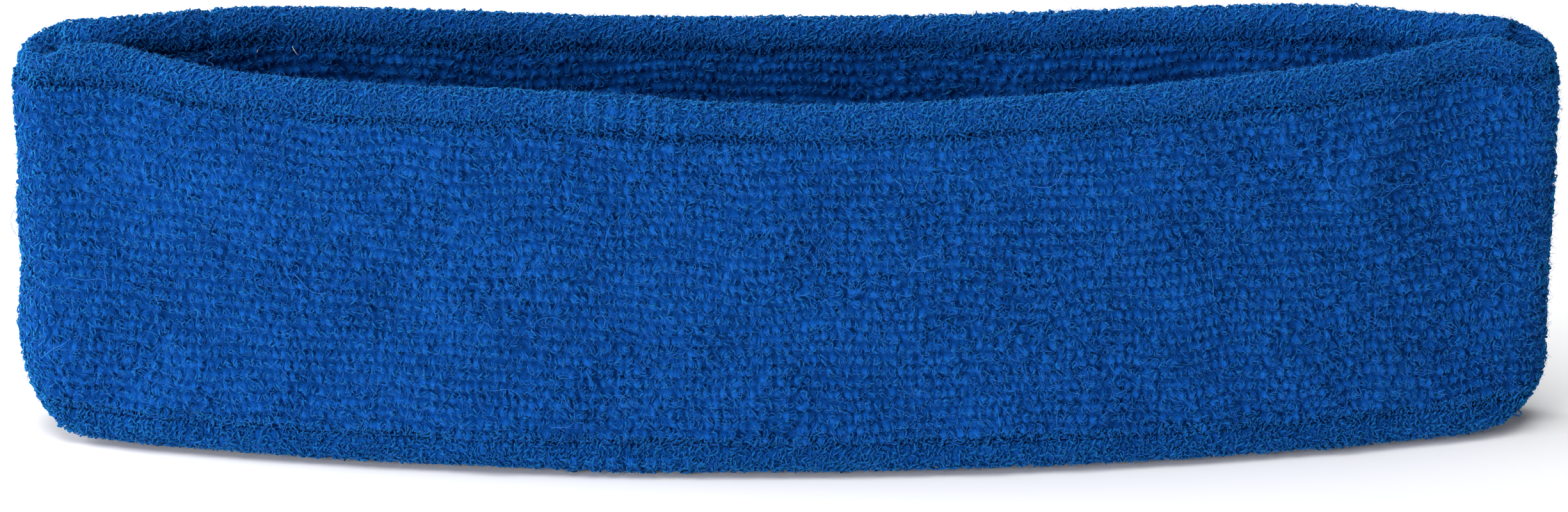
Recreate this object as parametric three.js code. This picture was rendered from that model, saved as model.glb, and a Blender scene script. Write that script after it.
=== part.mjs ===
// A terry-cloth sports headband, relaxed and standing on its lower rim, in millimetres.
// +Z is up, X runs along the flattened loop, and the wearer's forehead side faces -Y.
// The origin is at the middle of the loop, on the plane that the lower rim rests on.
//
// Two terry layers are knitted round the loop with elastic yarns lying between them.
// A turned welt closes each rim over an elastic cord, and two sewn threads hold each welt.
import * as THREE from "three";

// The loop seen from above.
const LOOP_WIDTH = 185;
const LOOP_DEPTH = 37;
const FOLD_RADIUS = 6.4;
const FOLD_STEPS = 10;
const WALL_STEPS = 20;

// The band's height along the fabric at the middle. It stands taller towards the folds.
const BAND_HEIGHT = 46.5;
const RISE_NEAR_FOLDS = 4.7;
const RISE_HALF_SPAN = 118;

// The tight rims draw each fold towards the middle of the loop, over these lengths and angles.
const PULL_START = 82;
const PULL_END = 95;
const LOWER_PULL = { length: 10, angle: THREE.MathUtils.degToRad(60) };
const UPPER_PULL = { length: 6.8, angle: THREE.MathUtils.degToRad(53) };

// The relaxed drape at the top rim, fading evenly to nothing at the lower one: the walls lean
// together just inside each fold, the front rim dips and rises, and the back rim lifts at its ends.
const LEAN = { most: 2.6, x: 80, span: 8 };
const FRONT_DIP = { most: 0.8, x: -66, span: 20 };
const FRONT_CREST = { most: 0.7, x: -26, span: 17 };
const BACK_LIFT = { most: 1, start: 15, end: 65 };
const FACING_SPAN = 3;

// Through the band's thickness, counted inwards from the outer face.
const BAND_THICKNESS = 4.6;
const LAYER_THICKNESS = 1.7;
const LAYER_GAP = BAND_THICKNESS - 2 * LAYER_THICKNESS;

// Each rim.
const WELT_HEIGHT = 3.7;
const WELT_BULGE = 0.1;
const WELT_WALL = 1.6;
const WELT_FLOOR = 1.5;
const WELT_FOOT = 1.8;
const WELT_CHAMFER = { depth: 0.45, height: 0.4 };
const WELT_SHOULDER = 1.2;
const WELT_BELLY_TOP = 2.4;
const WELT_TAPER = 0.25;
const GROOVE_HEIGHT = 0.9;
const CORD_RADIUS = 0.5;
const CORD_HEIGHT = 2.4;
const CORD_SIDES = 6;
const THREAD_RADIUS = 0.25;
const THREAD_DEPTH = 0.45;
const THREAD_SIDES = 4;

// Elastic yarns between the layers.
const YARN_COUNT = 10;
const YARN_RADIUS = 0.33;
const YARN_SIDES = 4;

// The seam that joins the strip's two ends, on the inner face of the back wall.
const SEAM_X = -70;
const SEAM_STITCHES = 14;
const SEAM_HALF_WIDTH = 1.3;
const SEAM_RADIUS = 0.3;
const SEAM_CLEARANCE = 0.45;
const SEAM_END_GAP = 1;
const SEAM_SIDES = 5;
const SEAM_STEPS_PER_STITCH = 3;
const SEAM_TENSION = 0.4;

const LAYER_BOTTOM = WELT_HEIGHT + GROOVE_HEIGHT;
const LAYER_TOP = BAND_HEIGHT - LAYER_BOTTOM;

const materials = {
  terry: new THREE.MeshStandardMaterial({ color: 0x1050a8, roughness: 0.95, metalness: 0 }),
  welt: new THREE.MeshStandardMaterial({ color: 0x1658b2, roughness: 0.95, metalness: 0 }),
  elastic: new THREE.MeshStandardMaterial({ color: 0xe6e2d8, roughness: 0.6, metalness: 0 }),
  thread: new THREE.MeshStandardMaterial({ color: 0x0d4390, roughness: 0.8, metalness: 0 }),
};

// Four tangent arcs make the outer outline: two tight folds and two shallow walls.
const foldCentre = LOOP_WIDTH / 2 - FOLD_RADIUS;
const halfDepth = LOOP_DEPTH / 2;
const wallRadius =
  (foldCentre ** 2 + halfDepth ** 2 - FOLD_RADIUS ** 2) / (2 * (halfDepth - FOLD_RADIUS));
const wallCentre = wallRadius - halfDepth;
const wallHalfAngle = Math.atan(foldCentre / wallCentre);
const QUARTER = Math.PI / 2;
const fold = (x, middle) => ({
  x, y: 0, radius: FOLD_RADIUS, middle, half: QUARTER - wallHalfAngle,
  steps: FOLD_STEPS, spacing: (share) => share,
});
const wall = (y, middle) => ({
  x: 0, y, radius: wallRadius, middle, half: wallHalfAngle,
  steps: WALL_STEPS, spacing: (share) => Math.sin(share * QUARTER),
});
const rightFold = fold(foldCentre, 0);
const backWall = wall(-wallCentre, QUARTER);
const leftFold = fold(-foldCentre, 2 * QUARTER);
const frontWall = wall(wallCentre, 3 * QUARTER);

// A place on the outer outline with its outward direction.
function station(arc, angle) {
  const outward = new THREE.Vector2(Math.cos(angle), Math.sin(angle));
  const point = outward.clone().multiplyScalar(arc.radius).add(new THREE.Vector2(arc.x, arc.y));
  return { point, outward };
}

// The walls' stations crowd together towards the folds, where the fabric bends most.
const STATIONS = [rightFold, backWall, leftFold, frontWall].flatMap((arc) =>
  Array.from({ length: arc.steps }, (_, i) =>
    station(arc, arc.middle + arc.half * arc.spacing((2 * i) / arc.steps - 1)),
  ),
);

const NO_TURN = 1e-6;

// How far a bend of the given length and angle has gone, along and across its first direction.
function bend(travel, { length, angle }, share) {
  const turned = (angle * share * travel) / length;
  if (turned < NO_TURN) return { along: travel, across: 0, turned: 0 };
  return {
    along: (travel * Math.sin(turned)) / turned,
    across: (travel * (1 - Math.cos(turned))) / turned,
    turned,
  };
}

const swell = ({ most, x, span }, at) => most * Math.exp(-(((at - x) / span) ** 2));

// How far the drape moves the top rim at one point of the outline.
function drape({ x, y }) {
  const reach = Math.abs(x);
  const facing = Math.tanh(y / FACING_SPAN);
  const behind = (1 + facing) / 2;
  const front = swell(FRONT_CREST, x) - swell(FRONT_DIP, x);
  const back = BACK_LIFT.most * THREE.MathUtils.smoothstep(reach, BACK_LIFT.start, BACK_LIFT.end);
  return { across: -facing * swell(LEAN, reach), up: (1 - behind) * front + behind * back };
}

// The point at a depth behind the outer face and a height along the fabric, at one station.
function inFabric({ point, outward }, depth, height) {
  const reach = Math.abs(point.x);
  const pull = THREE.MathUtils.smoothstep(reach, PULL_START, PULL_END);
  const rise = RISE_NEAR_FOLDS * THREE.MathUtils.smoothstep(reach, 0, RISE_HALF_SPAN);
  const tall = BAND_HEIGHT + rise;
  const s = (height * tall) / BAND_HEIGHT;
  const lower = bend(Math.max(0, LOWER_PULL.length - s), LOWER_PULL, pull);
  const upper = bend(Math.max(0, s - (tall - UPPER_PULL.length)), UPPER_PULL, pull);
  const straight = THREE.MathUtils.clamp(s, LOWER_PULL.length, tall - UPPER_PULL.length);
  const tilt = upper.turned - lower.turned;
  const inward = -Math.sign(point.x);
  const along = new THREE.Vector3(-outward.y, outward.x, 0);
  const up = new THREE.Vector3(inward * Math.sin(tilt), 0, Math.cos(tilt));
  const normal = along.cross(up).normalize();
  const draped = drape(point);
  const share = s / tall;
  const x = point.x + inward * (lower.across + upper.across);
  const y = point.y + share * draped.across;
  const z = straight - lower.along + upper.along + share * draped.up;
  return new THREE.Vector3(x, y, z).addScaledVector(normal, -depth);
}

// Revolves a closed section of (depth, height) points, then lays each column on its station.
function ring(name, section, material) {
  const turned = section.map(({ x, y }) => new THREE.Vector2(LOOP_WIDTH - x, y));
  const geometry = new THREE.LatheGeometry([...turned, turned[0]], STATIONS.length);
  const position = geometry.getAttribute("position");
  const columnLength = section.length + 1;
  for (let i = 0; i < position.count; i++) {
    const place = STATIONS[Math.floor(i / columnLength) % STATIONS.length];
    const { x: depth, y: height } = section[(i % columnLength) % section.length];
    const at = inFabric(place, depth, height);
    position.setXYZ(i, at.x, at.y, at.z);
  }
  geometry.computeVertexNormals();
  const mesh = new THREE.Mesh(geometry, material);
  mesh.name = name;
  return mesh;
}

const outline = (pairs) => pairs.map(([x, y]) => new THREE.Vector2(x, y));

// A round section, listed clockwise with depth to the right and height up.
function roundSection(depth, height, radius, sides) {
  return Array.from({ length: sides }, (_, i) => {
    const angle = -(2 * Math.PI * (i + 0.5)) / sides;
    return new THREE.Vector2(depth + radius * Math.cos(angle), height + radius * Math.sin(angle));
  });
}

// A flat layer of fabric from one depth to a greater one, cut finely where the rims pull it in.
function layerSection(front, back) {
  const lowerBend = (LAYER_BOTTOM + LOWER_PULL.length) / 2;
  const upperBend = BAND_HEIGHT - UPPER_PULL.length;
  const middle = BAND_HEIGHT / 2;
  const heights = [LAYER_BOTTOM, lowerBend, LOWER_PULL.length, middle, upperBend, LAYER_TOP];
  const outside = heights.map((height) => [front, height]);
  const inside = heights.map((height) => [back, height]).reverse();
  return outline([...outside, ...inside]);
}

// A welt is a U of fabric round its cord. The lower one is listed upwards from its foot.
function weltSection(upper) {
  const front = -WELT_BULGE;
  const back = BAND_THICKNESS + WELT_BULGE;
  const middle = (front + back) / 2;
  const half = [
    [middle - WELT_FOOT / 2, 0],
    [front + WELT_CHAMFER.depth, WELT_CHAMFER.height],
    [front, WELT_SHOULDER],
    [front, WELT_BELLY_TOP],
    [front + WELT_TAPER, WELT_HEIGHT],
    [front + WELT_WALL, WELT_HEIGHT],
    [front + WELT_WALL, WELT_FLOOR],
  ];
  const mirrored = half.map(([depth, height]) => [2 * middle - depth, height]).reverse();
  const lower = [...half, ...mirrored];
  if (!upper) return outline(lower);
  return outline(lower.map(([depth, height]) => [depth, BAND_HEIGHT - height])).reverse();
}

function rim(side) {
  const upper = side === "top";
  const atRim = (height) => (upper ? BAND_HEIGHT - height : height);
  const groove = atRim(WELT_HEIGHT + GROOVE_HEIGHT / 2);
  const thread = (depth) => roundSection(depth, groove, THREAD_RADIUS, THREAD_SIDES);
  const cord = roundSection(BAND_THICKNESS / 2, atRim(CORD_HEIGHT), CORD_RADIUS, CORD_SIDES);
  return [
    ring(`${side}_rim_welt`, weltSection(upper), materials.welt),
    ring(`${side}_rim_elastic_cord`, cord, materials.elastic),
    ring(`${side}_rim_needle_thread`, thread(THREAD_DEPTH), materials.thread),
    ring(`${side}_rim_looper_thread`, thread(BAND_THICKNESS - THREAD_DEPTH), materials.thread),
  ];
}

function elasticYarns() {
  const pitch = (LAYER_TOP - LAYER_BOTTOM) / YARN_COUNT;
  return Array.from({ length: YARN_COUNT }, (_, i) => {
    const height = LAYER_BOTTOM + pitch * (i + 0.5);
    const section = roundSection(BAND_THICKNESS / 2, height, YARN_RADIUS, YARN_SIDES);
    return ring(`elastic_yarn_${String(i + 1).padStart(2, "0")}`, section, materials.elastic);
  });
}

// One zigzag thread down the inner face, where the ends of the strip are sewn together.
function joinSeam() {
  const pitch = (LAYER_TOP - LAYER_BOTTOM - 2 * SEAM_END_GAP) / SEAM_STITCHES;
  const depth = BAND_THICKNESS + SEAM_RADIUS + SEAM_CLEARANCE;
  const corners = Array.from({ length: SEAM_STITCHES + 1 }, (_, i) => {
    const x = SEAM_X + (i % 2 ? SEAM_HALF_WIDTH : -SEAM_HALF_WIDTH);
    const place = station(backWall, Math.acos((x - backWall.x) / backWall.radius));
    return inFabric(place, depth, LAYER_BOTTOM + SEAM_END_GAP + i * pitch);
  });
  const path = new THREE.CatmullRomCurve3(corners, false, "catmullrom", SEAM_TENSION);
  const section = new THREE.Shape(
    Array.from({ length: SEAM_SIDES }, (_, i) => {
      const angle = (2 * Math.PI * i) / SEAM_SIDES;
      return new THREE.Vector2(SEAM_RADIUS * Math.cos(angle), SEAM_RADIUS * Math.sin(angle));
    }),
  );
  const geometry = new THREE.ExtrudeGeometry(section, {
    steps: SEAM_STITCHES * SEAM_STEPS_PER_STITCH,
    extrudePath: path,
    bevelEnabled: false,
  });
  const mesh = new THREE.Mesh(geometry, materials.thread);
  mesh.name = "back_join_seam_thread";
  return mesh;
}

const headband = new THREE.Group();
headband.add(
  ring("outer_terry_layer", layerSection(0, LAYER_THICKNESS), materials.terry),
  ring("inner_terry_layer", layerSection(LAYER_THICKNESS + LAYER_GAP, BAND_THICKNESS), materials.terry),
  ...elasticYarns(),
  ...rim("top"),
  ...rim("bottom"),
  joinSeam(),
);

export default headband;
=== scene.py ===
"""Looks of a relaxed terry-cloth sports headband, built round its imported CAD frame.

Every fabric surface is laid out in the band's own coordinates: t runs round the loop, s up the
fabric and depth inwards from the outer face. fabric_point() bends those into space the same way
as the frame is bent. Lengths are in millimetres until a mesh is made.
"""

import math

import bpy
import numpy as np
from mathutils import Matrix, Vector


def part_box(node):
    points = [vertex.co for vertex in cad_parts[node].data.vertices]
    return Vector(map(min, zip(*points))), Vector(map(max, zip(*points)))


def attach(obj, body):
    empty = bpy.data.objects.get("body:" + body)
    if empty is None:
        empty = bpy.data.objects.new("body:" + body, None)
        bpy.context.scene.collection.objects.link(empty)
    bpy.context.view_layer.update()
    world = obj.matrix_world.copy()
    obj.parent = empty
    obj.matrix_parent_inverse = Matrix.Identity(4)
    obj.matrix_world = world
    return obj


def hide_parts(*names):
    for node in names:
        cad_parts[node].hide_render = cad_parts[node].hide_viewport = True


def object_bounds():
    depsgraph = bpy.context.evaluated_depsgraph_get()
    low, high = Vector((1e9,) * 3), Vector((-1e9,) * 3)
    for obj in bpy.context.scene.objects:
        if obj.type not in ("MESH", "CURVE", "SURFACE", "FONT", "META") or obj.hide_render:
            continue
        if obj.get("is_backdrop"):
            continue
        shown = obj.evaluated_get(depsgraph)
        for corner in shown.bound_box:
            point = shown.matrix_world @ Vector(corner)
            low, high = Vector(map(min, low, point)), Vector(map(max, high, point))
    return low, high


MM = 0.001
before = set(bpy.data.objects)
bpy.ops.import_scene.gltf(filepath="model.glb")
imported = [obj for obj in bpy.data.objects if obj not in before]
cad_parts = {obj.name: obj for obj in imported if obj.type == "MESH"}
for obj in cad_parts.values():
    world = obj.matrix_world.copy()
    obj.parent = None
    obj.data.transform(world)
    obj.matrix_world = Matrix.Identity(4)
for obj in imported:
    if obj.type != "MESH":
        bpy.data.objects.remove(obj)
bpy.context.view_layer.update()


# --- Sizes read from the frame -------------------------------------------------------------

def high_corner_mm(node):
    return np.array(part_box(node)[1]) / MM


LOOP_HALF_WIDTH, LOOP_HALF_DEPTH, _ = high_corner_mm("outer_terry_layer")

# --- The frame's own driving dimensions that no box shows --------------------------------------

# A pull is a (length, angle) and a swell is a (most, x, span).
FOLD_RADIUS = 6.4
BAND_HEIGHT = 46.5
BAND_THICKNESS = 4.6
RISE_NEAR_FOLDS = 4.7
RISE_HALF_SPAN = 118.0
PULL_START, PULL_END = 82.0, 95.0
LOWER_PULL = (10.0, math.radians(60))
UPPER_PULL = (6.8, math.radians(53))
GROOVE_FROM_RIM = 4.15
SEAM_X = -70.0
LEAN = (2.6, 80.0, 8.0)
FRONT_DIP = (0.8, -66.0, 20.0)
FRONT_CREST = (0.7, -26.0, 17.0)
BACK_LIFT, BACK_LIFT_START, BACK_LIFT_END = 1.0, 15.0, 65.0
FACING_SPAN = 3.0

# The soft top rim drops a little further than the frame's at the tips of the folds.
CORNER_DROP, CORNER_START = 0.7, 80.0

# --- The knit -----------------------------------------------------------------------------

COURSE_PITCH = 1.42
WALE_PITCH = 1.05
PILE_HEIGHT = 0.9
YARN_RADIUS = 0.115
MID_DEPTH = BAND_THICKNESS / 2
GROUND_RADIUS = MID_DEPTH - PILE_HEIGHT
rng = np.random.default_rng(20)


# --- The band's bent space ------------------------------------------------------------------

FOLD_CENTRE = LOOP_HALF_WIDTH - FOLD_RADIUS
WALL_RADIUS = (
    (FOLD_CENTRE**2 + LOOP_HALF_DEPTH**2 - FOLD_RADIUS**2) / (2 * (LOOP_HALF_DEPTH - FOLD_RADIUS)))
WALL_CENTRE = WALL_RADIUS - LOOP_HALF_DEPTH
WALL_HALF = math.atan(FOLD_CENTRE / WALL_CENTRE)
FOLD_HALF = math.pi / 2 - WALL_HALF
# Right fold, back wall, left fold, front wall: centre x, centre y, radius, middle angle, half angle.
ARCS = np.array([
    [FOLD_CENTRE, 0, FOLD_RADIUS, 0, FOLD_HALF],
    [0, -WALL_CENTRE, WALL_RADIUS, math.pi / 2, WALL_HALF],
    [-FOLD_CENTRE, 0, FOLD_RADIUS, math.pi, FOLD_HALF],
    [0, WALL_CENTRE, WALL_RADIUS, 3 * math.pi / 2, WALL_HALF],
])
ARC_LENGTHS = 2 * ARCS[:, 2] * ARCS[:, 4]
ARC_STARTS = np.concatenate([[0], np.cumsum(ARC_LENGTHS)])
PERIMETER = ARC_STARTS[-1]
NO_TURN = 1e-9


def smoothstep(x, low, high):
    u = np.clip((x - low) / (high - low), 0, 1)
    return u * u * (3 - 2 * u)


def outline_place(t):
    """Points and outward directions on the outer outline, at arc lengths t."""
    t = np.mod(t, PERIMETER)
    arc = np.clip(np.searchsorted(ARC_STARTS, t, side="right") - 1, 0, 3)
    share = (t - ARC_STARTS[arc]) / ARC_LENGTHS[arc]
    angle = ARCS[arc, 3] + ARCS[arc, 4] * (2 * share - 1)
    outward = np.stack([np.cos(angle), np.sin(angle)], -1)
    return ARCS[arc, :2] + ARCS[arc, 2:3] * outward, outward


def bend(travel, pull, share):
    """How far a bend has gone along and across its first direction, and how far it has turned."""
    length, angle = pull
    turned = np.maximum(angle * share * travel / length, NO_TURN)
    return travel * np.sin(turned) / turned, travel * (1 - np.cos(turned)) / turned, turned


def swell(shape, at):
    most, x, span = shape
    return most * np.exp(-(((at - x) / span) ** 2))


def drape(x, y):
    """How far the relaxed drape moves the top rim across and up, at points of the outline."""
    reach = np.abs(x)
    facing = np.tanh(y / FACING_SPAN)
    behind = (1 + facing) / 2
    front = swell(FRONT_CREST, x) - swell(FRONT_DIP, x)
    back = BACK_LIFT * smoothstep(reach, BACK_LIFT_START, BACK_LIFT_END)
    return -facing * swell(LEAN, reach), (1 - behind) * front + behind * back


def fold_fill(t):
    """How much deeper the inner pile bunches up inside each fold."""
    x = outline_place(t)[0][..., 0]
    return FILL * smoothstep(np.abs(x), FILL_START, FILL_END)


def fabric_point(t, s, depth):
    """Points and (along, up, out) directions of the fabric, for t, s and depth that broadcast."""
    t, s, depth = np.broadcast_arrays(t, s, depth)
    shape = t.shape
    t, s, depth = t.ravel(), s.ravel(), depth.ravel()
    point, outward = outline_place(t)
    reach = np.abs(point[:, 0])
    pull = smoothstep(reach, PULL_START, PULL_END)
    tall = BAND_HEIGHT + RISE_NEAR_FOLDS * smoothstep(reach, 0, RISE_HALF_SPAN)
    s = s * tall / BAND_HEIGHT
    low_along, low_across, low_turn = bend(np.maximum(0, LOWER_PULL[0] - s), LOWER_PULL, pull)
    top_start = tall - UPPER_PULL[0]
    top_along, top_across, top_turn = bend(np.maximum(0, s - top_start), UPPER_PULL, pull)
    tilt = top_turn - low_turn
    inward = -np.sign(point[:, 0])
    zero = np.zeros_like(tilt)
    along = np.column_stack([-outward[:, 1], outward[:, 0], zero])
    up = np.column_stack([inward * np.sin(tilt), zero, np.cos(tilt)])
    normal = np.cross(along, up)
    normal /= np.linalg.norm(normal, axis=1, keepdims=True)
    z = np.clip(s, LOWER_PULL[0], top_start) - low_along + top_along
    draped_across, draped_up = drape(*point.T)
    draped_up = draped_up - CORNER_DROP * smoothstep(reach, CORNER_START, LOOP_HALF_WIDTH)
    z = z + draped_up * s / tall
    y = point[:, 1] + draped_across * s / tall
    face = np.column_stack([point[:, 0] + inward * (low_across + top_across), y, z])
    place = face - depth[:, None] * normal
    return tuple(a.reshape(*shape, 3) for a in (place, along, up, normal))


# --- Slow unevenness ------------------------------------------------------------------------

def wave_set(count, turns, rows):
    """Random waves that close up round the loop, up to this many turns round it and rows up it."""
    return np.column_stack([
        rng.integers(-turns, turns + 1, count), rng.uniform(-rows, rows, count),
        rng.uniform(0, 2 * np.pi, count)])


def ripple(waves, t, s):
    """Smooth noise of about unit spread from one set of waves."""
    total = 0
    for turns, rows, phase in waves:
        total = total + np.sin(2 * np.pi * (turns * t / PERIMETER + rows * s / BAND_HEIGHT) + phase)
    return total * math.sqrt(2 / len(waves))


LUMPS = wave_set(count=16, turns=34, rows=4)
NAP = wave_set(count=18, turns=60, rows=7)
MESSINESS = wave_set(count=12, turns=22, rows=3)
COURSE_DRIFT = wave_set(count=12, turns=26, rows=2)
GROOVE_DRIFT = wave_set(count=10, turns=40, rows=0.5)

# --- Meshes ---------------------------------------------------------------------------------

MOST_SUNK = 0.15


def mesh_object(name, points, quads, attributes=None):
    """A smooth mesh from points in millimetres and rows of four corner numbers.

    Whatever would hang below the plane the band rests on is pressed flat against it.
    """
    height = points[..., 2]
    points[..., 2] = np.where(height < 0, MOST_SUNK * np.tanh(height), height)
    mesh = bpy.data.meshes.new(name)
    mesh.vertices.add(len(points))
    mesh.vertices.foreach_set("co", (points * MM).astype(np.float32).ravel())
    mesh.loops.add(quads.size)
    mesh.loops.foreach_set("vertex_index", quads.astype(np.int32).ravel())
    mesh.polygons.add(len(quads))
    mesh.polygons.foreach_set("loop_start", np.arange(0, quads.size, 4, dtype=np.int32))
    mesh.polygons.foreach_set("use_smooth", np.ones(len(quads), bool))
    for key, values in (attributes or {}).items():
        layer = mesh.attributes.new(key, "FLOAT", "POINT")
        layer.data.foreach_set("value", np.asarray(values, np.float32).ravel())
    mesh.update()
    mesh.validate()
    piece = bpy.data.objects.new(name, mesh)
    bpy.context.scene.collection.objects.link(piece)
    return piece


def tube_quads(count, rows, sides):
    """Corner numbers of count open tubes, each of rows rings with this many sides."""
    i, j, k = np.meshgrid(np.arange(count), np.arange(rows - 1), np.arange(sides), indexing="ij")
    base = i * rows * sides
    near, far = base + j * sides, base + (j + 1) * sides
    turn = (k + 1) % sides
    return np.stack([near + k, near + turn, far + turn, far + k], -1).reshape(-1, 4)


SPARE_DIRECTION = np.array([0.3, 0.5, 0.8])
NO_LENGTH = 1e-6


def tube_points(paths, radius, sides):
    """Ring points round each path of shape (count, rows, 3); radius is a number or (count, rows)."""
    ahead = np.gradient(paths, axis=1)
    ahead /= np.linalg.norm(ahead, axis=2, keepdims=True)
    side = np.cross(ahead, np.cross(paths[:, -1:] - paths[:, :1], paths[:, 1:2] - paths[:, :1]))
    length = np.linalg.norm(side, axis=2, keepdims=True)
    spare = np.cross(ahead, SPARE_DIRECTION)
    side = np.where(length > NO_LENGTH, side, spare)
    side /= np.linalg.norm(side, axis=2, keepdims=True)
    other = np.cross(ahead, side)
    angle = 2 * np.pi * np.arange(sides) / sides
    ring = np.cos(angle)[:, None] * side[:, :, None] + np.sin(angle)[:, None] * other[:, :, None]
    radius = np.broadcast_to(radius, paths.shape[:2])[:, :, None, None]
    return paths[:, :, None] + radius * ring


# --- The section of the band: two walls joined by a round cap at each rim ---------------------

GROOVE_WIDTH = 0.6
GROOVE_WANDER = 0.16
GROOVE_STRENGTH, GROOVE_UNEVENNESS = 0.8, 0.2
LOWER_GROOVE_SHARE = 0.45
FILL, FILL_START, FILL_END = 1.1, 78.0, 86.0
GROOVE_DEPTH = 0.7
LUMP_DEPTH = 0.16
SEAM_T = ARC_STARTS[1] + ARC_LENGTHS[1] / 2 - WALL_RADIUS * math.asin(SEAM_X / WALL_RADIUS)
SEAM_DIP, SEAM_DIP_WIDTH = 0.55, 0.7
GATHER_X, GATHER_SPAN, GATHER_PITCH, GATHER_DEPTH = -21.0, 9.0, 2.3, 0.55
GATHER_START, GATHER_FULL = BAND_HEIGHT - 8.0, BAND_HEIGHT - 5.0
GATHER_T = ARC_STARTS[3] + ARC_LENGTHS[3] / 2 + WALL_RADIUS * math.asin(GATHER_X / WALL_RADIUS)


def groove(t, s):
    """1 in the sewn groove below each welt, falling to 0 beside it; the lower one is shallower."""
    drift = GROOVE_WANDER * ripple(GROOVE_DRIFT, t, s)
    strength = GROOVE_STRENGTH + GROOVE_UNEVENNESS * ripple(NAP, t, 0 * s)
    low = np.exp(-(((s - GROOVE_FROM_RIM - drift) / GROOVE_WIDTH) ** 2))
    high = np.exp(-(((s - BAND_HEIGHT + GROOVE_FROM_RIM - drift) / GROOVE_WIDTH) ** 2))
    return np.clip(strength * (high + LOWER_GROOVE_SHARE * low), 0, 1)


def seam_dip(t, side):
    """1 on the seam that joins the strip's ends, seen on the inner face only."""
    return np.exp(-(((t - SEAM_T) / SEAM_DIP_WIDTH) ** 2)) * (side < 0)


def gathers(t):
    """Upright folds where the top rim has bunched up a little at one place in front."""
    window = np.exp(-(((t - GATHER_T) / GATHER_SPAN) ** 2))
    return GATHER_DEPTH * window * (0.5 + 0.5 * np.sin(2 * np.pi * t / GATHER_PITCH))


def wall_section(t, s, side, lift=0.0):
    """(s, depth, tilt) on a wall: side is 1 on the outer face and -1 on the inner one."""
    out = GROUND_RADIUS + lift + LUMP_DEPTH * ripple(LUMPS, t, s + side) - GROOVE_DEPTH * groove(t, s)
    out = out + gathers(t) * smoothstep(s, GATHER_START, GATHER_FULL) * (side > 0)
    out = out - SEAM_DIP * seam_dip(t, side) + fold_fill(t) * (side < 0)
    return s, MID_DEPTH - side * out, np.where(side > 0, 0.0, math.pi) + 0 * s


def cap_section(t, angle, upper, lift=0.0):
    """The same round a rim: angle runs from 0 on the outer face to pi on the inner one."""
    outer_share = (1 + np.cos(angle)) / 2
    radius = GROUND_RADIUS + lift + gathers(t) * outer_share - SEAM_DIP * seam_dip(t, -1)
    rise = radius * np.sin(angle)
    s = BAND_HEIGHT - MID_DEPTH + rise if upper else MID_DEPTH - rise
    depth = MID_DEPTH - radius * np.cos(angle) + (1 - outer_share) * fold_fill(t)
    return s, depth, angle if upper else -angle


# --- The knit: one nub of pile for each stitch --------------------------------------------------

WALL_BOTTOM, WALL_TOP = GROOVE_FROM_RIM, BAND_HEIGHT - GROOVE_FROM_RIM
COURSE_COUNT = round((WALL_TOP - WALL_BOTTOM) / COURSE_PITCH)
WALE_COUNT = round(PERIMETER / WALE_PITCH)
COURSE_STEP = (WALL_TOP - WALL_BOTTOM) / COURSE_COUNT
WALE_STEP = PERIMETER / WALE_COUNT
STAGGER = 0.3
NUB_WIDTH, NUB_TALL = 0.5, 0.62
NUB_HEIGHTS = (0.5, 1.12)
NUB_ROOT = -0.12
NUB_SQUARENESS = 1.4
COURSE_WANDER = 0.35
STITCH_SCATTER = (0.13, 0.1)
FOLD_CALM, CALM_START, CALM_END = 0.45, 84.0, 92.0


MESS_MEAN, MESS_SPREAD = 0.85, 0.35
MESS_LIMITS = (0.3, 1.6)


def messiness(t, s):
    """How untidily the stitches lie at each place."""
    return np.clip(MESS_MEAN + MESS_SPREAD * ripple(MESSINESS, t, s), *MESS_LIMITS)


def on_fold(t):
    """1 round the tip of each fold, where the stretched fabric is smoother, falling to 0 beside it."""
    x = outline_place(t)[0][..., 0]
    return smoothstep(np.abs(x), CALM_START, CALM_END)


def knit():
    """Centres (t, s), heights and shades of one face's stitches, as wale by course arrays."""
    wale, course = np.meshgrid(np.arange(WALE_COUNT), np.arange(COURSE_COUNT), indexing="ij")
    t = (wale + 0.5 + STAGGER * (course % 2)) * WALE_STEP
    s = WALL_BOTTOM + (course + 0.5) * COURSE_STEP
    mess = messiness(t, s)
    drift = COURSE_WANDER * ripple(COURSE_DRIFT, t, s)
    t = t + mess * rng.normal(0, STITCH_SCATTER[0], t.shape)
    s = s + drift + mess * rng.normal(0, STITCH_SCATTER[1], s.shape)
    height = rng.uniform(*NUB_HEIGHTS, t.shape) * (1 - FOLD_CALM * on_fold(t))
    shade = rng.random(t.shape)
    return {"t": t, "s": s, "mess": mess, "height": height, "shade": shade}


KNITS = {1: knit(), -1: knit()}


def relief(side, t, s):
    """How far the nubs of one face stand out at each (t, s)."""
    knitted = KNITS[side]
    t, s = np.broadcast_arrays(t, s)
    first_wale = np.floor(t / WALE_STEP).astype(int)
    first_course = np.floor((s - WALL_BOTTOM) / COURSE_STEP).astype(int)
    best = np.zeros(t.shape)
    for wale_step in (-1, 0, 1):
        for course_step in (-1, 0, 1):
            wale, course = first_wale + wale_step, first_course + course_step
            known = (course >= 0) & (course < COURSE_COUNT)
            cell = wale % WALE_COUNT, np.clip(course, 0, COURSE_COUNT - 1)
            turns = (wale - cell[0]) * WALE_STEP
            along = (t - knitted["t"][cell] - turns) / NUB_WIDTH
            upward = (s - knitted["s"][cell]) / NUB_TALL
            nub = knitted["height"][cell] * np.exp(-((along**2 + upward**2) ** NUB_SQUARENESS))
            best = np.maximum(best, np.where(known, nub, 0))
    return best


# --- Pile -----------------------------------------------------------------------------------

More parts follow.
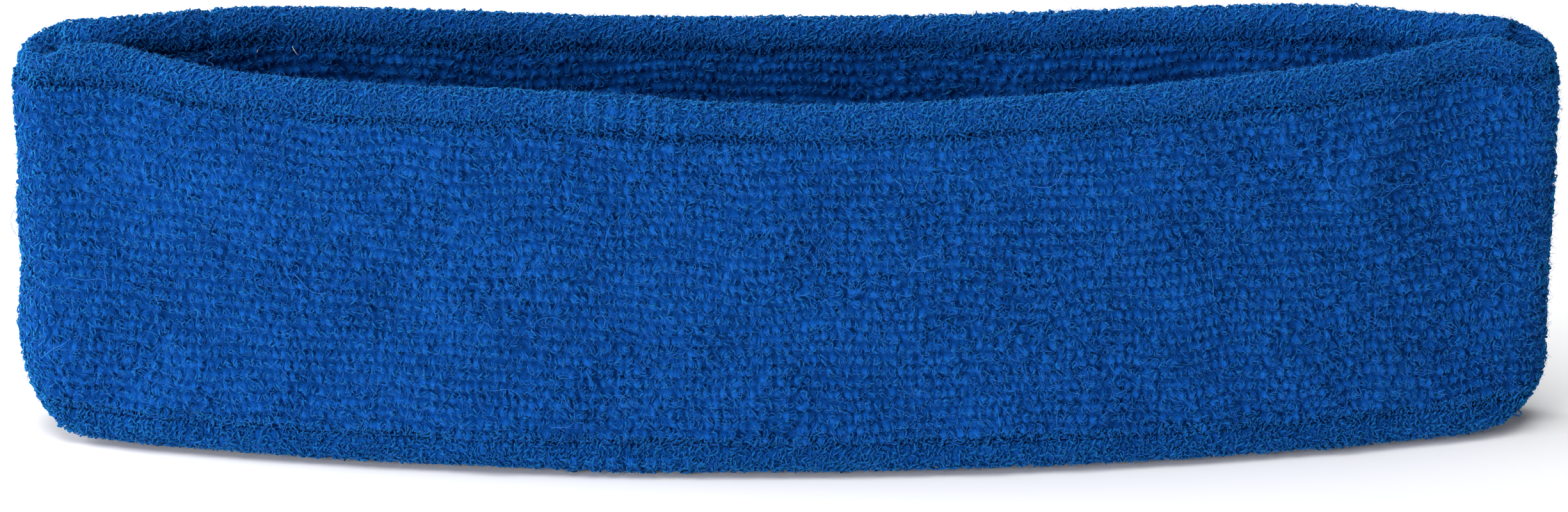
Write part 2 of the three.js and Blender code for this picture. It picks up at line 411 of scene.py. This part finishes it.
LOOP_ROWS, LOOP_SIDES = 5, 3
ROOT_DEPTH = 0.12
LOOP_HEIGHT = 0.34
ROOT_PAINTED_SHADE_LIFT = 0.3
LOOP_HALF_WIDTHS = (0.22, 0.42)
LOOP_FOOT, LOOP_BELLY = 0.62, 0.55
LOOP_STEP = 0.14
LOOP_ROUNDNESS = 0.6
LOOP_NAP = 0.2
LEAN_SCATTER, SWAY_SCATTER, CURL_SCATTER = 0.34, 0.28, 0.2
YARN_SPREAD = (0.85, 1.15)
YARN_FOOT, YARN_BELLY = 0.8, 0.25


def pile(name, t, s, depth, tilt, spin, height, mess, shade):
    """One mesh of small yarn loops, rooted at (t, s, depth) and standing out along tilt."""
    count = len(t)
    place, along, up, normal = fabric_point(t, s, depth)
    out = normal * np.cos(tilt)[:, None] + up * np.sin(tilt)[:, None]
    across = np.cross(out, along)
    first = along * np.cos(spin)[:, None] + across * np.sin(spin)[:, None]
    second = np.cross(out, first)
    arch = np.linspace(0.0, np.pi, LOOP_ROWS)[None]
    half_width = rng.uniform(*LOOP_HALF_WIDTHS, (count, 1))
    untidy = mess[:, None]
    lean = LOOP_NAP * ripple(NAP, t, s)[:, None] + untidy * rng.normal(0, LEAN_SCATTER, (count, 1))
    sway = untidy * rng.normal(0, SWAY_SCATTER, (count, 1))
    curl = rng.normal(0, CURL_SCATTER, (count, 1))
    spread = LOOP_FOOT + LOOP_BELLY * np.sin(arch)
    x = -np.cos(arch) * half_width * spread + sway * np.sin(arch)
    y = lean * np.sin(arch) + LOOP_STEP * np.cos(arch) + curl * np.sin(2 * arch)
    z = height[:, None] * np.sin(arch) ** LOOP_ROUNDNESS - ROOT_DEPTH
    paths = place[:, None] + (
        x[..., None] * first[:, None] + y[..., None] * second[:, None] + z[..., None] * out[:, None])
    thickness = rng.uniform(*YARN_SPREAD, (count, 1)) * (YARN_FOOT + YARN_BELLY * np.sin(arch))
    radius = YARN_RADIUS * thickness
    points = tube_points(paths, radius, LOOP_SIDES)
    # Painted shade: each loop is coloured dark at its root and light at its crown.
    lift = ROOT_PAINTED_SHADE_LIFT + (1 - ROOT_PAINTED_SHADE_LIFT) * np.sin(arch)
    lift = np.repeat(np.broadcast_to(lift, (count, LOOP_ROWS)).ravel(), LOOP_SIDES)
    shade = np.repeat(shade, LOOP_ROWS * LOOP_SIDES)
    return mesh_object(
        name, points.reshape(-1, 3), tube_quads(count, LOOP_ROWS, LOOP_SIDES),
        {"lift_for_painted_shade": lift, "pile_shade": shade})


CLUMP_RADIUS = 0.26
CLUMP_SPREAD = (0.1, 2.2)
CLUMP_STRETCH = 1.25
NUB_SEAT = 0.85
LOOP_HEIGHT_SPREAD = (0.6, 1.25)
GROOVE_FLATTENING = 0.5
STRANDS = {1: 3, -1: 2}
ARC_NAMES = ("right_fold", "back", "left_fold", "front")


def wall_pile(name, arc, side):
    """The loops that stand on the nubs of one face of one arc."""
    knitted = KNITS[side]
    here = (knitted["t"] >= ARC_STARTS[arc]) & (knitted["t"] < ARC_STARTS[arc + 1])
    centre_t, centre_s, mess, shade = (
        np.repeat(knitted[key][here], STRANDS[side]) for key in ("t", "s", "mess", "shade"))
    turn = rng.uniform(0, 2 * np.pi, centre_t.size)
    away = CLUMP_RADIUS * np.sqrt(rng.uniform(*CLUMP_SPREAD, centre_t.size))
    t = centre_t + away * np.cos(turn)
    s = centre_s + CLUMP_STRETCH * away * np.sin(turn)
    _, depth, tilt = wall_section(t, s, side, NUB_ROOT + NUB_SEAT * relief(side, t, s))
    spin = rng.uniform(-np.pi / 2, np.pi / 2, t.size)
    height = LOOP_HEIGHT * rng.uniform(*LOOP_HEIGHT_SPREAD, t.size)
    height = height * (1 - GROOVE_FLATTENING * groove(t, s))
    return pile(name, t, s, depth, tilt, spin, height, mess, (shade + rng.random(t.size)) / 2)


RIM_LOOP_HEIGHT = 0.42
RIM_LIFT = 0.28
RIM_STEP = 0.62
RIM_START, RIM_END = MID_DEPTH + 0.1, GROOVE_FROM_RIM + 1.0
CAP_ROWS, CAP_INSET = 8, 0.2
CAP_SCATTER, RIM_SCATTER, RIM_SPIN_SCATTER = 0.08, 0.25, 0.6
RIM_HEIGHT_SPREAD = (0.6, 1.3)
RIM_TWINS = 3


def welt_pile(name, upper):
    """Shorter pile over a rolled rim, in rows from its outer groove over the top to the inner one."""
    wales = np.arange(RIM_TWINS * WALE_COUNT) * WALE_STEP / RIM_TWINS
    rows = []
    for side in (1, -1):
        for s in np.arange(RIM_START, RIM_END, RIM_STEP):
            s_here = BAND_HEIGHT - s if upper else s
            rows.append(wall_section(wales, np.full(len(wales), s_here), side, RIM_LIFT))
    for angle in np.linspace(CAP_INSET, math.pi - CAP_INSET, CAP_ROWS):
        scattered = angle + rng.normal(0, CAP_SCATTER, len(wales))
        rows.append(cap_section(wales, scattered, upper, RIM_LIFT))
    s, depth, tilt = (np.concatenate(values) for values in zip(*rows))
    t = np.tile(wales, len(rows)) + rng.normal(0, RIM_SCATTER, s.size)
    spin = math.pi / 2 + rng.normal(0, RIM_SPIN_SCATTER, t.size)
    height = RIM_LOOP_HEIGHT * rng.uniform(*RIM_HEIGHT_SPREAD, t.size)
    return pile(name, t, s, depth, tilt, spin, height, messiness(t, s), rng.random(t.size))


# --- Fuzz: loose fibre ends that stand out of the pile -----------------------------------------

FIBRE_ROWS, FIBRE_SIDES = 3, 3
FIBRE_RADIUS, FIBRE_TIP = 0.027, 0.35
FIBRE_RISE, FIBRE_DROOP = 0.9, 0.45
FIBRE_LAY = (0.3, 1.0)
FIBRE_CURL = 0.35
FIBRE_LAY_CURVE = 1.5
WALL_FIBRE_LENGTHS = (0.5, 1.4)
RIM_FIBRE_LENGTHS = (0.5, 1.2)
RIM_FIBRE_OVERLAP = 0.3


def fuzz(name, t, s, depth, tilt, length):
    """Short tapered fibres that rise along tilt, droop and curl sideways."""
    count = len(t)
    place, along, up, normal = fabric_point(t, s, depth)
    out = normal * np.cos(tilt)[:, None] + up * np.sin(tilt)[:, None]
    across = np.cross(out, along)
    turn = rng.uniform(0, 2 * np.pi, count)[:, None]
    sideways = along * np.cos(turn) + across * np.sin(turn)
    u = np.linspace(0, 1, FIBRE_ROWS)[None, :, None]
    lay = rng.uniform(*FIBRE_LAY, (count, 1, 1))
    curl = rng.normal(0, FIBRE_CURL, (count, 1, 1))
    bent = np.cross(out, sideways)[:, None]
    reach = length[:, None, None]
    rise = out[:, None] * (FIBRE_RISE * u - FIBRE_DROOP * lay * u**2)
    laid = sideways[:, None] * lay * u**FIBRE_LAY_CURVE
    paths = place[:, None] + reach * (rise + laid + bent * curl * u**2)
    taper = FIBRE_RADIUS * np.linspace(1, FIBRE_TIP, FIBRE_ROWS)[None] * np.ones((count, 1))
    points = tube_points(paths, taper, FIBRE_SIDES)
    return mesh_object(name, points.reshape(-1, 3), tube_quads(count, FIBRE_ROWS, FIBRE_SIDES))


def wall_fuzz(name, count, side):
    t, s = rng.uniform(0, PERIMETER, count), rng.uniform(WALL_BOTTOM, WALL_TOP, count)
    s, depth, tilt = wall_section(t, s, side, NUB_ROOT + relief(side, t, s))
    return fuzz(name, t, s, depth, tilt, rng.uniform(*WALL_FIBRE_LENGTHS, count))


def rim_fuzz(name, count, upper):
    t = rng.uniform(0, PERIMETER, count)
    angle = rng.uniform(-RIM_FIBRE_OVERLAP, math.pi + RIM_FIBRE_OVERLAP, count)
    s, depth, tilt = cap_section(t, angle, upper, RIM_LIFT)
    return fuzz(name, t, s, depth, tilt, rng.uniform(*RIM_FIBRE_LENGTHS, count))


# --- Ground fabric under the pile -------------------------------------------------------------

GROUND_STEP = 0.34
BACK_ROWS, BACK_CLEARANCE = 12, 0.42
FACE_STEP, FACE_OVERLAP = 0.3, 0.3
WELT_STEP, CAP_POINTS = 0.35, 21
FLUFF = 0.05
RIB_PITCH, RIB_DEPTH, RIB_SLANT, RIB_WANDER = 0.62, 0.09, 0.35, 0.2
# Depths of the ground that take the darkest and the lightest painted shade.
PAINTED_SHADE_LIFT_LOW, PAINTED_SHADE_LIFT_HIGH = 1.15, 2.25


def side_by_side(*blocks):
    """Blocks of rows joined along the section, each spread over every station."""
    stations = max(len(block) for block in blocks)
    return np.concatenate([np.broadcast_to(block, (stations, block.shape[1])) for block in blocks], 1)


def ground_ring(name, section_at):
    """A closed ring; section_at(t) gives the section there as (s, depth) columns."""
    count = round(PERIMETER / GROUND_STEP)
    t = np.arange(count)[:, None] * PERIMETER / count
    s, depth = section_at(t)
    place = fabric_point(t, s, depth)[0]
    rows = place.shape[1]
    i, j = np.meshgrid(np.arange(count), np.arange(rows), indexing="ij")
    near, far = i * rows, ((i + 1) % count) * rows
    turn = (j + 1) % rows
    quads = np.stack([near + j, near + turn, far + turn, far + j], -1).reshape(-1, 4)
    # Painted shade: the ground is coloured darker the deeper it lies, in hollows between nubs, in
    # grooves and between rim ribs.
    lift = np.clip((section_lift(s, depth) - PAINTED_SHADE_LIFT_LOW) / (PAINTED_SHADE_LIFT_HIGH - PAINTED_SHADE_LIFT_LOW), 0, 1)
    return mesh_object(
        name, place.reshape(-1, 3), quads, {"lift_for_painted_shade": lift, "pile_shade": rng.random(lift.shape)})


def section_lift(s, depth):
    """Distance of a fabric surface from the middle of the band, taken round the rim at each end."""
    past = np.maximum(0, np.maximum(MID_DEPTH - s, s - (BAND_HEIGHT - MID_DEPTH)))
    return np.hypot(depth - MID_DEPTH, past)


def layer_ground(name, side):
    """One layer: its piled face is ridged by the courses and its hidden face is flat."""
    face_s = np.arange(WALL_BOTTOM - FACE_OVERLAP, WALL_TOP + FACE_OVERLAP, FACE_STEP)[None]
    back_s = np.linspace(face_s[0, -1], face_s[0, 0], BACK_ROWS)[None]

    def section(t):
        fluff = rng.normal(0, FLUFF, (len(t), face_s.shape[1]))
        face = wall_section(t, face_s, side, NUB_ROOT + relief(side, t, face_s) + fluff)[1]
        back = np.full((1, BACK_ROWS), MID_DEPTH - side * BACK_CLEARANCE)
        rows_s, rows_depth = side_by_side(face_s, back_s), side_by_side(face, back)
        return (rows_s, rows_depth) if side < 0 else (rows_s[:, ::-1], rows_depth[:, ::-1])

    return ground_ring(name, section)


def welt_ground(name, upper):
    """The folded cloth of one rim, from its outer groove over the rim to its inner groove."""
    straight = np.arange(GROOVE_FROM_RIM - WELT_STEP, MID_DEPTH, -WELT_STEP)[None]
    wall_s = BAND_HEIGHT - straight if upper else straight
    angle = np.linspace(0, math.pi, CAP_POINTS)[None]

    def section(t):
        slant = RIB_SLANT * np.linspace(-1, 1, 2 * wall_s.shape[1] + angle.shape[1])[None]
        turns = t / RIB_PITCH + slant + RIB_WANDER * ripple(NAP, t, 0)
        ribs = RIM_LIFT + RIB_DEPTH * np.sin(2 * np.pi * turns)
        ribs = ribs + rng.normal(0, FLUFF, ribs.shape)
        wall_rows, cap_rows = wall_s.shape[1], angle.shape[1]
        outer_ribs, cap_ribs, inner_ribs = np.split(ribs, [wall_rows, wall_rows + cap_rows], axis=1)
        outer = wall_section(t, wall_s, 1, outer_ribs)[1]
        inner = wall_section(t, wall_s[:, ::-1], -1, inner_ribs)[1]
        cap_s, cap_depth, _ = cap_section(t, angle, upper, cap_ribs)
        rows_s = side_by_side(wall_s, cap_s, wall_s[:, ::-1])
        rows_depth = side_by_side(outer, cap_depth, inner)
        return (rows_s[:, ::-1], rows_depth[:, ::-1]) if upper else (rows_s, rows_depth)

    return ground_ring(name, section)


# --- Sewing threads ---------------------------------------------------------------------------

GROOVE_STITCH, GROOVE_STITCH_ROWS = 2.6, 7
THREAD_RADIUS, THREAD_SIDES = 0.17, 5
THREAD_LIFT, THREAD_DIVE, THREAD_WANDER = 0.16, 0.2, 0.08
SEAM_PITCH, SEAM_STITCH_ROWS, SEAM_END_GAP = 0.6, 6, 0.3
SEAM_HALF_WIDTH, SEAM_RADIUS = 0.42, 0.12
SEAM_LIFT, SEAM_ARCH = 0.75, 0.1


def groove_thread(name, upper, side):
    """One thread along a groove, diving into the fabric at every stitch."""
    stitches = round(PERIMETER / GROOVE_STITCH)
    count = stitches * GROOVE_STITCH_ROWS
    t = np.arange(count + 1) * PERIMETER / count
    s0 = BAND_HEIGHT - GROOVE_FROM_RIM if upper else GROOVE_FROM_RIM
    wave = 2 * np.pi * stitches * t / PERIMETER
    lift = THREAD_LIFT + THREAD_DIVE * np.sin(wave)
    s, depth, _ = wall_section(t, np.full(count + 1, s0), side, lift)
    place = fabric_point(t, s + THREAD_WANDER * np.sin(0.5 * wave), depth)[0]
    points = tube_points(place[None], THREAD_RADIUS, THREAD_SIDES)
    return mesh_object(name, points.reshape(-1, 3), tube_quads(1, count + 1, THREAD_SIDES))


def seam_stitches(name):
    """Close zigzag stitches over the butted ends, down the inner face of the back wall."""
    first, last = WALL_BOTTOM + SEAM_END_GAP, WALL_TOP - SEAM_END_GAP
    crossings = round((last - first) / SEAM_PITCH)
    count = crossings * SEAM_STITCH_ROWS + 1
    share = np.linspace(0, crossings, count)
    across = SEAM_HALF_WIDTH * np.sin(np.pi * (share - 0.5))
    s = first + (last - first) * share / crossings
    t = SEAM_T + across
    lift = SEAM_LIFT + SEAM_ARCH * np.cos(2 * np.pi * share)
    _, depth, _ = wall_section(t, s, -1, lift)
    path = fabric_point(t, s, depth)[0]
    points = tube_points(path[None], SEAM_RADIUS, THREAD_SIDES)
    return mesh_object(name, points.reshape(-1, 3), tube_quads(1, count, THREAD_SIDES))


STRAY_ROWS = 14
STRAY_RADIUS, STRAY_LENGTHS, STRAY_END_GAP = 0.035, (2.5, 6.0), 3
STRAY_TURN_SCATTER, STRAY_WIGGLE = 1.6, (0.2, 0.9)
STRAY_LIFT, STRAY_ARCH, STRAY_ARCH_SPREAD = 0.75, 0.45, (0.5, 1.3)


def strays(name, t, s, side, length, radius, heading):
    """Long loose fibres that wander over the pile."""
    count = len(t)
    bend_rate = rng.normal(0, STRAY_TURN_SCATTER, (count, 1))
    wiggle = rng.uniform(*STRAY_WIGGLE, (count, 1))
    u = np.linspace(0, 1, STRAY_ROWS)[None]
    turn = heading[:, None] + bend_rate * u + wiggle * np.sin(2 * np.pi * u)
    step = length[:, None] / STRAY_ROWS
    path_t = t[:, None] + np.cumsum(step * np.cos(turn), axis=1)
    path_s = s[:, None] + np.cumsum(step * np.sin(turn), axis=1)
    lift = STRAY_LIFT + STRAY_ARCH * np.sin(np.pi * u) * rng.uniform(*STRAY_ARCH_SPREAD, (count, 1))
    _, depth, _ = wall_section(path_t, path_s, side, lift)
    paths = fabric_point(path_t, path_s, depth)[0]
    points = tube_points(paths, radius, FIBRE_SIDES)
    return mesh_object(name, points.reshape(-1, 3), tube_quads(count, STRAY_ROWS, FIBRE_SIDES))


def scattered_strays(name, count, side):
    t = rng.uniform(0, PERIMETER, count)
    s = rng.uniform(WALL_BOTTOM + STRAY_END_GAP, WALL_TOP - STRAY_END_GAP, count)
    length = rng.uniform(*STRAY_LENGTHS, count)
    heading = rng.uniform(0, 2 * np.pi, count)
    return strays(name, t, s, side, length, STRAY_RADIUS, heading)


LINT_FROM_SEAM = np.array([11.0, 6.0])
LINT_BELOW_RIM = np.array([1.2, 0.6])
LINT_LENGTHS = np.array([1.3, 0.4])
LINT_HEADINGS = np.array([0.1, -0.3])
LINT_RADIUS = 0.045


def lint(name):
    """Two short specks of pale lint caught on the inner face of the back wall, near the seam."""
    t, s = SEAM_T - LINT_FROM_SEAM, WALL_TOP - LINT_BELOW_RIM
    return strays(name, t, s, -1, LINT_LENGTHS, LINT_RADIUS, LINT_HEADINGS)


# --- Materials --------------------------------------------------------------------------------

def new_material(name):
    material = bpy.data.materials.new(name)
    material.use_nodes = True
    nodes = material.node_tree.nodes
    return material, nodes, material.node_tree.links, nodes["Principled BSDF"]


def math_node(nodes, links, operation, a, b):
    node = nodes.new("ShaderNodeMath")
    node.operation = operation
    for socket, value in zip(node.inputs, (a, b)):
        if isinstance(value, (int, float)):
            socket.default_value = value
        else:
            links.new(value, socket)
    return node.outputs[0]


def ramp_node(nodes, links, factor, stops):
    node = nodes.new("ShaderNodeValToRGB")
    ramp = node.color_ramp
    while len(ramp.elements) < len(stops):
        ramp.elements.new(0.5)
    for element, (position, colour) in zip(ramp.elements, stops):
        element.position, element.color = position, (*colour, 1)
    links.new(factor, node.inputs[0])
    return node.outputs[0]


def noise_node(nodes, links, scale, detail):
    """Noise laid out in the piece's own coordinates."""
    coords = nodes.new("ShaderNodeTexCoord")
    noise = nodes.new("ShaderNodeTexNoise")
    noise.inputs["Scale"].default_value = scale
    noise.inputs["Detail"].default_value = detail
    links.new(coords.outputs["Object"], noise.inputs["Vector"])
    return noise


def add_bump(nodes, links, shader, height, strength, distance):
    bump = nodes.new("ShaderNodeBump")
    bump.inputs["Strength"].default_value = strength
    bump.inputs["Distance"].default_value = distance
    links.new(height, bump.inputs["Height"])
    links.new(bump.outputs["Normal"], shader.inputs["Normal"])


# Shares of the colour ramp: painted shade by height, random tone per loop, random patches.
PAINTED_SHADE_SHARE, LOOP_SHARE, PATCH_SHARE = 0.5, 0.3, 0.26
BLUE_DEEP = (0.0004, 0.022, 0.115)
BLUE_MID = (0.001, 0.057, 0.276)
BLUE_LIGHT = (0.006, 0.106, 0.43)


def terry_material(name):
    """Pile yarn with painted shade, dark root and light crown, each loop a little different."""
    material, nodes, links, shader = new_material(name)
    lift = nodes.new("ShaderNodeAttribute")
    lift.attribute_name = "lift_for_painted_shade"
    shade = nodes.new("ShaderNodeAttribute")
    shade.attribute_name = "pile_shade"
    patches = noise_node(nodes, links, scale=110, detail=6)
    patches.inputs["Roughness"].default_value = 0.72
    # Painted shade: darker where the surface lies lower, at loop roots and in the ground's hollows.
    by_painted_shade = math_node(nodes, links, "MULTIPLY", lift.outputs["Fac"], PAINTED_SHADE_SHARE)
    by_loop = math_node(nodes, links, "MULTIPLY", shade.outputs["Fac"], LOOP_SHARE)
    by_patch = math_node(nodes, links, "MULTIPLY", patches.outputs["Fac"], PATCH_SHARE)
    yarn = math_node(nodes, links, "ADD", by_painted_shade, by_loop)
    total = math_node(nodes, links, "ADD", yarn, by_patch)
    # The deep blue end is partly painted shade at roots and hollows and partly random tone.
    colour = ramp_node(nodes, links, total, [(0.0, BLUE_DEEP), (0.55, BLUE_MID), (1.0, BLUE_LIGHT)])
    links.new(colour, shader.inputs["Base Color"])
    fibres = noise_node(nodes, links, scale=4500, detail=3)
    add_bump(nodes, links, shader, fibres.outputs["Fac"], strength=0.9, distance=0.0003)
    shader.inputs["Roughness"].default_value = 0.95
    shader.inputs["Specular IOR Level"].default_value = 0.05
    shader.inputs["Sheen Weight"].default_value = 0.15
    shader.inputs["Sheen Roughness"].default_value = 0.5
    shader.inputs["Sheen Tint"].default_value = (0.12, 0.3, 1.0, 1)
    shader.inputs["Subsurface Weight"].default_value = 0.4
    shader.inputs["Subsurface Radius"].default_value = (0.3, 0.7, 1.0)
    shader.inputs["Subsurface Scale"].default_value = 0.001
    return material


def plain_fabric(name, dark, light, scale):
    """Matte fabric mottled between two colours; a higher scale makes a finer mottle."""
    material, nodes, links, shader = new_material(name)
    noise = noise_node(nodes, links, scale, detail=5)
    colour = ramp_node(nodes, links, noise.outputs["Fac"], [(0.25, dark), (0.75, light)])
    links.new(colour, shader.inputs["Base Color"])
    shader.inputs["Roughness"].default_value = 0.92
    shader.inputs["Specular IOR Level"].default_value = 0.15
    add_bump(nodes, links, shader, noise.outputs["Fac"], strength=0.4, distance=0.0002)
    return material


FIBRE_NOISE, THREAD_NOISE, ELASTIC_NOISE = 300, 2500, 1800
pile_blue = terry_material("pile_yarn_painted_shade")
fuzz_blue = plain_fabric(
    "loose_fibre", dark=(0.006, 0.1, 0.42), light=(0.04, 0.21, 0.63), scale=FIBRE_NOISE)
seam_pale = plain_fabric(
    "seam_thread", dark=(0.01, 0.09, 0.33), light=(0.03, 0.15, 0.46), scale=THREAD_NOISE)
lint_pale = plain_fabric(
    "pale_lint", dark=(0.45, 0.5, 0.58), light=(0.65, 0.68, 0.72), scale=THREAD_NOISE)
thread_blue = plain_fabric(
    "sewing_thread", dark=(0.001, 0.03, 0.16), light=(0.004, 0.07, 0.33), scale=THREAD_NOISE)
elastic_white = plain_fabric(
    "covered_elastic", dark=(0.5, 0.47, 0.42), light=(0.8, 0.78, 0.72), scale=ELASTIC_NOISE)


# --- Building the band ------------------------------------------------------------------------

def keep(piece, material, slot, *nodes):
    """Dresses a piece, fixes it to the band's one body and hides the CAD nodes it stands for."""
    piece.data.materials.append(material)
    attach(piece, "root")
    if nodes:
        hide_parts(*nodes)


keep(layer_ground("outer_terry_ground", 1), pile_blue, "terry", "outer_terry_layer")
keep(layer_ground("inner_terry_ground", -1), pile_blue, "terry", "inner_terry_layer")
keep(welt_ground("top_welt_ground", True), pile_blue, "welt", "top_rim_welt")
keep(welt_ground("bottom_welt_ground", False), pile_blue, "welt", "bottom_rim_welt")
for layer, side in (("outer", 1), ("inner", -1)):
    for arc, arc_name in enumerate(ARC_NAMES):
        keep(wall_pile(f"{layer}_pile_{arc_name}", arc, side), pile_blue, "terry")
keep(welt_pile("top_welt_pile", True), pile_blue, "welt")
keep(welt_pile("bottom_welt_pile", False), pile_blue, "welt")
for layer, side, fibres in (("outer", 1, 34000), ("inner", -1, 5000)):
    keep(wall_fuzz(f"{layer}_fuzz", fibres, side), fuzz_blue, "terry")
for rim, upper, fibres in (("top", True, 15000), ("bottom", False, 5000)):
    keep(rim_fuzz(f"{rim}_rim_fuzz", fibres, upper), fuzz_blue, "welt")
for layer, side, fibres in (("outer", 1, 60), ("inner", -1, 25)):
    keep(scattered_strays(f"{layer}_stray_fibres", fibres, side), fuzz_blue, "terry")
keep(lint("lint_specks"), lint_pale, "terry")
keep(seam_stitches("join_seam_stitches"), seam_pale, "thread", "back_join_seam_thread")
for rim, upper in (("top", True), ("bottom", False)):
    for thread, side in (("needle", 1), ("looper", -1)):
        node = f"{rim}_rim_{thread}_thread"
        keep(groove_thread(f"{rim}_{thread}_stitches", upper, side), thread_blue, "thread", node)

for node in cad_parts.values():
    if not node.hide_render:
        node.data.materials.clear()
        node.data.materials.append(elastic_white)


# --- Stage ------------------------------------------------------------------------------------

FLOOR_HALF_SIZE, FLOOR_GAP = 4.0, 0.0002
FLOOR_WHITE = (0.9, 0.9, 0.9, 1)
STUDIO_GLOW = 0.15


def stage():
    """A plain pale floor and the studio's even glow."""
    mesh = bpy.data.meshes.new("floor")
    size = FLOOR_HALF_SIZE
    corners = [(-size, -size, 0), (size, -size, 0), (size, size, 0), (-size, size, 0)]
    mesh.from_pydata(corners, [], [(0, 1, 2, 3)])
    floor = bpy.data.objects.new("floor", mesh)
    bpy.context.scene.collection.objects.link(floor)
    material, _, _, shader = new_material("pale_floor")
    shader.inputs["Base Color"].default_value = FLOOR_WHITE
    shader.inputs["Roughness"].default_value = 0.9
    mesh.materials.append(material)
    floor.location.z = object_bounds()[0].z - FLOOR_GAP
    floor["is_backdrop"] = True
    world = bpy.data.worlds.new("studio")
    world.use_nodes = True
    glow = world.node_tree.nodes["Background"]
    glow.inputs["Color"].default_value = (1, 1, 1, 1)
    glow.inputs["Strength"].default_value = STUDIO_GLOW
    bpy.context.scene.world = world


def soft_light(name, place, aim, size, power):
    data = bpy.data.lights.new(name, "AREA")
    data.shape, data.size, data.energy = "SQUARE", size, power
    lamp = bpy.data.objects.new(name, data)
    lamp.location = place
    lamp.rotation_mode = "QUATERNION"
    lamp.rotation_quaternion = (Vector(aim) - Vector(place)).to_track_quat("-Z", "Y")
    bpy.context.scene.collection.objects.link(lamp)


CAMERA_ELEVATION = math.radians(20.4)
CAMERA_AZIMUTH = math.radians(-2.3)
CAMERA_ROLL = math.radians(-0.62)
CAMERA_DISTANCE = 0.87
CAMERA_AIM_HEIGHT = 0.024
FRAME_WIDTH_AT_AIM = 0.1882
FRAME_DROP = 0.0024
FRAME_SIDE = -0.0004
SENSOR = 36


def camera():
    """The photo's view: from the front, a little above, a little to the left, barely rolled."""
    data = bpy.data.cameras.new("camera")
    data.sensor_width = SENSOR
    data.lens = SENSOR * CAMERA_DISTANCE / FRAME_WIDTH_AT_AIM
    data.shift_x = FRAME_SIDE / FRAME_WIDTH_AT_AIM
    data.shift_y = -FRAME_DROP / FRAME_WIDTH_AT_AIM
    turn, rise = CAMERA_AZIMUTH, CAMERA_ELEVATION
    right = Vector((math.cos(turn), math.sin(turn), 0))
    ahead = Vector((-math.sin(turn) * math.cos(rise), math.cos(turn) * math.cos(rise), -math.sin(rise)))
    above = right.cross(ahead)
    rolled_right = right * math.cos(CAMERA_ROLL) - above * math.sin(CAMERA_ROLL)
    rolled_above = right * math.sin(CAMERA_ROLL) + above * math.cos(CAMERA_ROLL)
    place = Vector((0, 0, CAMERA_AIM_HEIGHT)) - ahead * CAMERA_DISTANCE
    cam = bpy.data.objects.new("camera", data)
    turned = Matrix((rolled_right, rolled_above, -ahead)).transposed()
    cam.matrix_world = Matrix.Translation(place) @ turned.to_4x4()
    bpy.context.scene.collection.objects.link(cam)
    bpy.context.scene.camera = cam


stage()
soft_light("key", place=(-1.1, -1.3, 0.35), aim=(0, 0, 0.02), size=0.8, power=34)
soft_light("top", place=(-0.2, -0.35, 1.5), aim=(0, 0, 0.02), size=1.4, power=26)
soft_light("left_edge", place=(-0.9, 0.3, 0.35), aim=(-0.09, 0, 0.03), size=0.5, power=9)
camera()
bpy.context.scene.view_settings.view_transform = "Standard"
